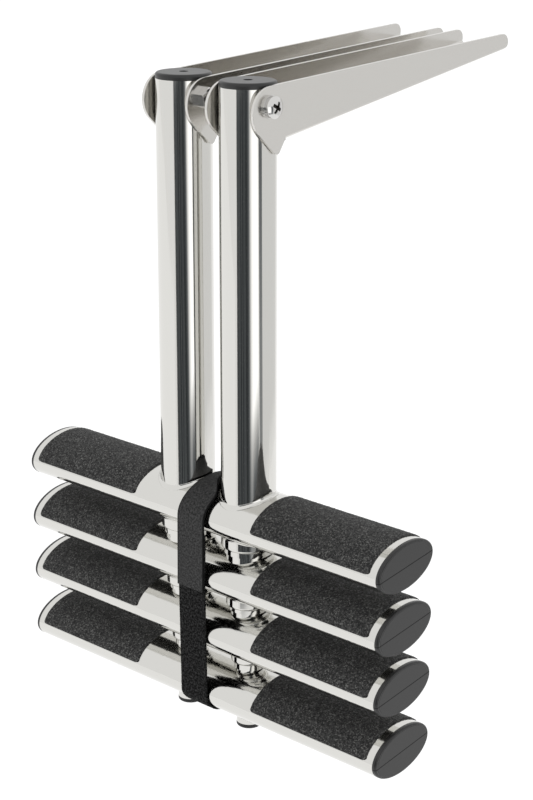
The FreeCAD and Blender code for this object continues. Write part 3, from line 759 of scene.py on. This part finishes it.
HEAD_HEIGHT = 3.6 * MM
HEAD_EDGE = 1.2 * MM
HEAD_FLAT = 0.8 * MM
HEAD_STEPS = 72
SHANK = 4.0 * MM
THREAD_PITCH = 1.25 * MM
THREAD_DEPTH = 0.5 * MM
THREAD_LENGTH = 9.0 * MM
RECESS_HALF = 1.0 * MM
RECESS_SOFT = 0.15 * MM
RECESS_REACH = 4.1 * MM
RECESS_DEPTH = 3.0 * MM
RECESS_TURN = math.radians(50)
# Share of the recess's depth from which its painted shade shows
RECESS_SHADE_FROM = 0.2


def recess_arm(u, v):
    """Share of the recess's depth in the arm along u."""
    wall = 1 - smooth_step(np.abs(v), RECESS_HALF - RECESS_SOFT, RECESS_HALF + RECESS_SOFT)
    return wall * np.clip((RECESS_REACH - np.abs(u)) / (RECESS_REACH / 3), 0, 1)


def make_pivot_screw(side):
    """A pan head and its shank, as one skin turned about the pivot.

    The dome falls from its flat by the square of the distance past it. The recess is the larger of two arms,
    each full depth along its middle and rising to its ends. Near the shank's end the radius shrinks by half
    the thread's depth times one less the cosine of the turn from one thread to the next.
    """
    node = f"pivot_screw_{side}"
    low, high = (np.array(corner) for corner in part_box(node))
    way = 1 if side == "right" else -1
    head_radius = (high[1] - low[1]) / 2
    tip_x = high[0] if way > 0 else low[0]
    end = HEAD_HEIGHT - (high[0] - low[0])
    dome = np.linspace(0, head_radius, HEAD_STEPS)
    fall = (np.maximum(dome - HEAD_FLAT, 0) / (head_radius - HEAD_FLAT)) ** 2
    rim = np.linspace(HEAD_EDGE, 0, 4)[1:]
    thread = np.arange(end + THREAD_LENGTH, end, -THREAD_PITCH / 8)
    # Rows of the dome, the head's side, the shank, its thread and its end
    radius = np.concatenate(
        [
            dome,
            np.full(len(rim), head_radius),
            [SHANK, SHANK],
            np.full(len(thread), SHANK),
            [SHANK - THREAD_DEPTH, 0],
        ]
    )
    height = np.concatenate(
        [
            HEAD_HEIGHT - fall * (HEAD_HEIGHT - HEAD_EDGE),
            rim,
            [0, end + THREAD_LENGTH],
            thread,
            [end, end],
        ]
    )
    turn = np.linspace(0, 2 * math.pi, TURN_STEPS, endpoint=False)
    radius = np.repeat(radius[:, None], len(turn), 1)
    height = np.repeat(height[:, None], len(turn), 1)
    first = HEAD_STEPS + len(rim) + 2
    threaded = slice(first, first + len(thread))
    screw_turn = 2 * math.pi * height[threaded] / THREAD_PITCH - turn
    radius[threaded] -= THREAD_DEPTH * (1 - np.cos(screw_turn)) / 2
    along = radius[:HEAD_STEPS] * np.cos(turn - RECESS_TURN)
    over = radius[:HEAD_STEPS] * np.sin(turn - RECESS_TURN)
    cross = np.zeros(radius.shape)
    cross[:HEAD_STEPS] = np.maximum(recess_arm(along, over), recess_arm(over, along))
    height -= RECESS_DEPTH * cross
    x = tip_x + way * (height - HEAD_HEIGHT)
    y = (low[1] + high[1]) / 2 + radius * np.cos(turn)
    z = (low[2] + high[2]) / 2 + radius * np.sin(turn)
    faces = grid_faces(*x.shape, close_columns=True)
    screw = mesh_object(f"pan_screw_{side}", np.stack([x, y, z], -1), faces)
    place_piece(screw, screw_steel, "screw_steel", "brackets", node)
    # The second slot holds the painted shade of the cross recess, given to its deeper faces
    screw.data.materials.append(recess_painted_shade)
    sunk = cross.ravel()[faces].mean(axis=1) > RECESS_SHADE_FROM
    screw.data.polygons.foreach_set("material_index", sunk.astype(np.int32))
    return seal(screw)


for side in SIDES:
    make_pivot_screw(side)


# Camera, at the photograph's place in the tubes' frame

YAW = math.radians(43.4)
PITCH = 0.30128
ROLL = 0.00092
DISTANCE = 1280.03 * MM
AIM = (46.07 * MM, 0.0, 84.98 * MM)
FOCAL_PIXELS = 1920.8
PHOTO_HEIGHT = 800
SENSOR_HEIGHT = 36.0

toward = np.array([-math.sin(YAW) * math.cos(PITCH), math.cos(YAW) * math.cos(PITCH), -math.sin(PITCH)])
level_right = np.array([math.cos(YAW), math.sin(YAW), 0.0])
level_up = np.cross(level_right, toward)
right = math.cos(ROLL) * level_right + math.sin(ROLL) * level_up
up = math.cos(ROLL) * level_up - math.sin(ROLL) * level_right
eye = from_tube_frame(np.array(AIM) - DISTANCE * toward)
pose = np.eye(4)
pose[:3, :3] = turned([right, up, -toward]).T
pose[:3, 3] = eye

camera_data = bpy.data.cameras.new("camera")
camera_data.sensor_fit = "VERTICAL"
camera_data.sensor_height = SENSOR_HEIGHT
camera_data.lens = FOCAL_PIXELS / PHOTO_HEIGHT * SENSOR_HEIGHT
camera = bpy.data.objects.new("camera", camera_data)
bpy.context.scene.collection.objects.link(camera)
camera.matrix_world = Matrix(pose.tolist())
bpy.context.scene.camera = camera


# Studio: white surroundings, a pale floor far below, and a curved wall that only gloss sees

FLOOR_Z = -1.8
FLOOR_HALF = 20.0
WALL_RADIUS = 0.6
WALL_LOW = -0.5
WALL_HIGH = 0.1
# Degrees round the ladder, from the camera's side
WALL_FIRST = -55
WALL_LAST = 135
# Each part's first angle and how soft it starts, and its last angle and how soft it ends
DARK_ROOM = (-46.5, 1.0, 9.0, 10.0)
LAMP = (9.0, 10.0, 37.0, 2.5)
POST = (39.5, 1.5, 52.0, 1.5)
GREY_WALL = (52.5, 1.5, 128.0, 5.0)
DARK_LEVEL = 0.08
GREY_LEVEL = 0.86
# Light of the lamp and of the post at these heights
LAMP_HEIGHTS = [-0.4, -0.384, -0.357, -0.33, -0.305]
LAMP_LEVELS = [0.1, 0.15, 0.43, 0.88, 1.6]
POST_HEIGHTS = [-0.3, -0.1]
POST_LEVELS = [0.3, 0.16]

world = bpy.data.worlds.new("studio")
world.use_nodes = True
bpy.context.scene.world = world
sky = world.node_tree.nodes["Background"]
sky.inputs["Color"].default_value = (1.0, 1.0, 1.0, 1.0)
sky.inputs["Strength"].default_value = 1.0
bpy.context.scene.view_settings.view_transform = "Standard"
bpy.context.scene.view_settings.look = "None"


def glow(name, strength, diffuse=0.0):
    """A surface that shines evenly and scatters a share of the light that falls on it."""
    surface = {
        "Base Color": (diffuse, diffuse, diffuse, 1.0),
        "Roughness": 1.0,
        "Specular IOR Level": 0.0,
        "Emission Color": (1.0, 1.0, 1.0, 1.0),
        "Emission Strength": strength,
    }
    return finish_material(name, surface)


def room_light(turn, height):
    """Radiance of the room by the angle from the camera's side and by height, 1 where nothing stands.

    Each part of the room pulls the light to its own level by a weight that is 1 between two angles and falls
    off over a soft edge at either end: a dark room behind the camera with faint uprights in it, a lamp that
    ends above the treads, a post and a grey wall to the right.
    """
    uprights = ripple(turn / 0.8, height * 2, 11)
    light = np.ones_like(turn)
    for span, level in (
        (DARK_ROOM, DARK_LEVEL * (1 + 0.6 * uprights)),
        (LAMP, np.interp(height, LAMP_HEIGHTS, LAMP_LEVELS)),
        (POST, np.interp(height, POST_HEIGHTS, POST_LEVELS)),
        (GREY_WALL, GREY_LEVEL),
    ):
        first, soft_first, last, soft_last = span
        rise = smooth_step(turn, first - soft_first, first + soft_first)
        fall = 1 - smooth_step(turn, last - soft_last, last + soft_last)
        light = light * (1 - rise * fall) + level * rise * fall
    window = smooth_step(height, -0.48, -0.44) * (1 - smooth_step(height, 0.05, 0.09))
    return light * window + 1 - window


def make_room():
    """A curved wall round the ladder, lit by its own colours.

    Only gloss sees it, so it lights nothing else. What is darker is also a little cooler.
    """
    degrees = np.arange(WALL_FIRST, WALL_LAST, 0.5)
    turn, height = np.meshgrid(degrees, np.linspace(WALL_LOW, WALL_HIGH, 41))
    light = room_light(turn, height)
    camera_turn = math.atan2(eye[1] - TREADS[1][1], eye[0] - TREADS[1][0])
    angle = camera_turn + np.radians(turn)
    x = TREADS[1][0] + WALL_RADIUS * np.cos(angle)
    y = TREADS[1][1] + WALL_RADIUS * np.sin(angle)
    wall = mesh_object("room", np.stack([x, y, height], -1), grid_faces(*turn.shape))
    cool = 1 - np.clip(light / 0.5, 0, 1)
    tints = [light * (1 - 0.16 * cool), light * (1 - 0.07 * cool), light, np.ones_like(light)]
    layer = wall.data.attributes.new("light", "FLOAT_COLOR", "POINT")
    layer.data.foreach_set("color", np.stack(tints, -1).astype(np.float32).ravel())
    material = glow("room seen in the steel", 1.0)
    tree = material.node_tree
    shine = add(tree, "Attribute", attribute_name="light")
    tree.links.new(shine.outputs["Color"], tree.nodes["Principled BSDF"].inputs["Emission Color"])
    wall.data.materials.append(material)
    for kind in ("camera", "diffuse", "shadow", "transmission", "volume_scatter"):
        setattr(wall, f"visible_{kind}", False)


corners = np.array([[-1, -1, 0], [1, -1, 0], [1, 1, 0], [-1, 1, 0]]) * FLOOR_HALF + [0, 0, FLOOR_Z]
floor = mesh_object("floor", corners, [[0, 1, 2, 3]], smooth=False)
floor.data.materials.append(glow("pale floor", 0.25, 0.85))
make_room()
